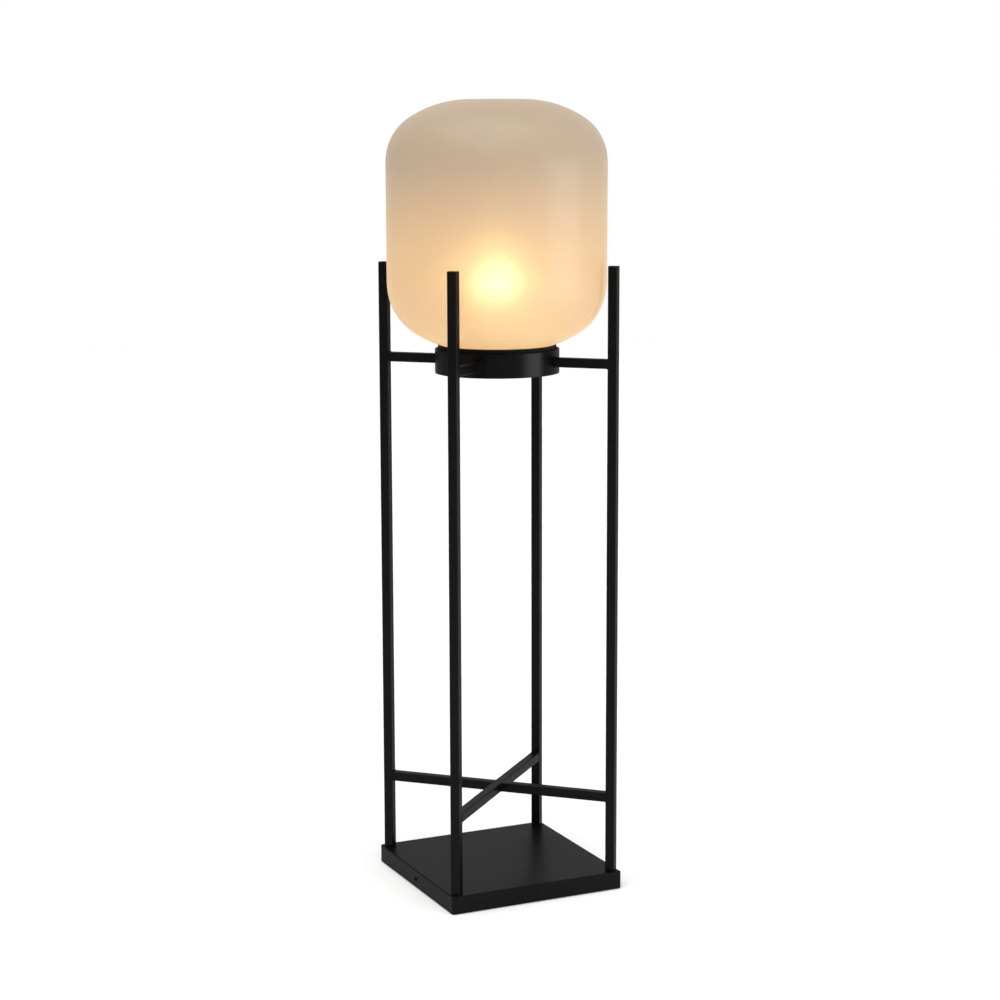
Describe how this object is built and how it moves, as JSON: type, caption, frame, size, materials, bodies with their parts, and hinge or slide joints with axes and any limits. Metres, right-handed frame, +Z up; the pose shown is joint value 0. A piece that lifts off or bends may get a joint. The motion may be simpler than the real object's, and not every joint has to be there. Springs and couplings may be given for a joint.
{
  "type": "lantern floor lamp",
  "caption": "Floor lamp with a jar-shaped frosted glass shade seated in a black steel ring between square posts on a weighted square base.",
  "frame": {"origin": "on the floor under the middle of the square base", "axes": "+Z up along the shade's axis, -Y towards the front, the wired post at +X +Y"},
  "size_m": [0.3499, 0.35, 1.2669],
  "materials": {
    "black_steel": "satin black powder coat",
    "cast_weight": "raw casting",
    "black_screws": "black oxide screws",
    "zinc_steel": "zinc plated",
    "brass": "drawn brass",
    "black_rubber": "matt rubber",
    "black_plastic": "moulded black resin",
    "block_plastic": "white moulded resin",
    "lead_sheath": "soft black sheath",
    "ceramic": "glazed ceramic",
    "frosted_glass": "etched, milky, warm white",
    "opal_dome": "opal diffuser",
    "bulb_white": "white coated body",
    "bulb_metal": "nickel coloured cap",
    "bulb_insulation": "black glass"
  },
  "bodies": {
    "root": {"base_shell": "black_steel", "bottom_cover": "black_steel", "ring_band": "black_steel", "ring_lugs": "black_steel", "ring_cover": "black_steel", "light_dish": "black_steel", "brace_bar": "black_steel", "brace_half_left": "black_steel", "brace_half_right": "black_steel", "post_front_left": "black_steel", "post_front_right": "black_steel", "post_back_left": "black_steel", "post_back_right": "black_steel", "post_cap_front_left": "black_steel", "post_cap_front_right": "black_steel", "post_cap_back_left": "black_steel", "post_cap_back_right": "black_steel", "arm_front_left": "black_steel", "arm_front_right": "black_steel", "arm_back_left": "black_steel", "arm_back_right": "black_steel", "base_weight": "cast_weight", "side_screws": "black_screws", "dish_screws": "black_screws", "ring_cover_screws": "black_screws", "weight_screws": "zinc_steel", "tab_nuts": "zinc_steel", "block_screw": "zinc_steel", "post_bolts": "zinc_steel", "post_washers": "zinc_steel", "lead_nut": "zinc_steel", "lead_washer": "zinc_steel", "dish_nuts": "zinc_steel", "lock_washer": "zinc_steel", "post_foot_front_left": "zinc_steel", "post_foot_front_right": "zinc_steel", "post_foot_back_left": "zinc_steel", "post_foot_back_right": "zinc_steel", "terminal_sleeves": "brass", "lead_nipple": "brass", "dish_nipple": "brass", "screw_shell": "brass", "centre_contact": "brass", "terminal_screws": "brass", "foot_pads": "black_rubber", "rim_trim": "black_rubber", "lead_bushing": "black_rubber", "cord_bushing": "black_plastic", "holder_lower": "black_plastic", "holder_sleeve": "black_plastic", "terminal_block": "block_plastic", "lamp_lead": "lead_sheath", "holder_insert": "ceramic"},
    "shade": {"shade_glass": "frosted_glass"},
    "bulb": {"bulb_dome": "opal_dome", "bulb_body": "bulb_white", "bulb_cap": "bulb_metal", "bulb_insulator": "bulb_insulation", "bulb_tip": "bulb_metal"}
  },
  "joints": [
    {"name": "shade_lift", "type": "slide", "parent": "root", "child": "shade", "axis": [0, 0, 1], "range_m": [0, 0.16]},
    {"name": "bulb_unscrew", "type": "slide", "parent": "root", "child": "bulb", "axis": [0, 0, 1], "range_m": [0, 0.03]}
  ]
}
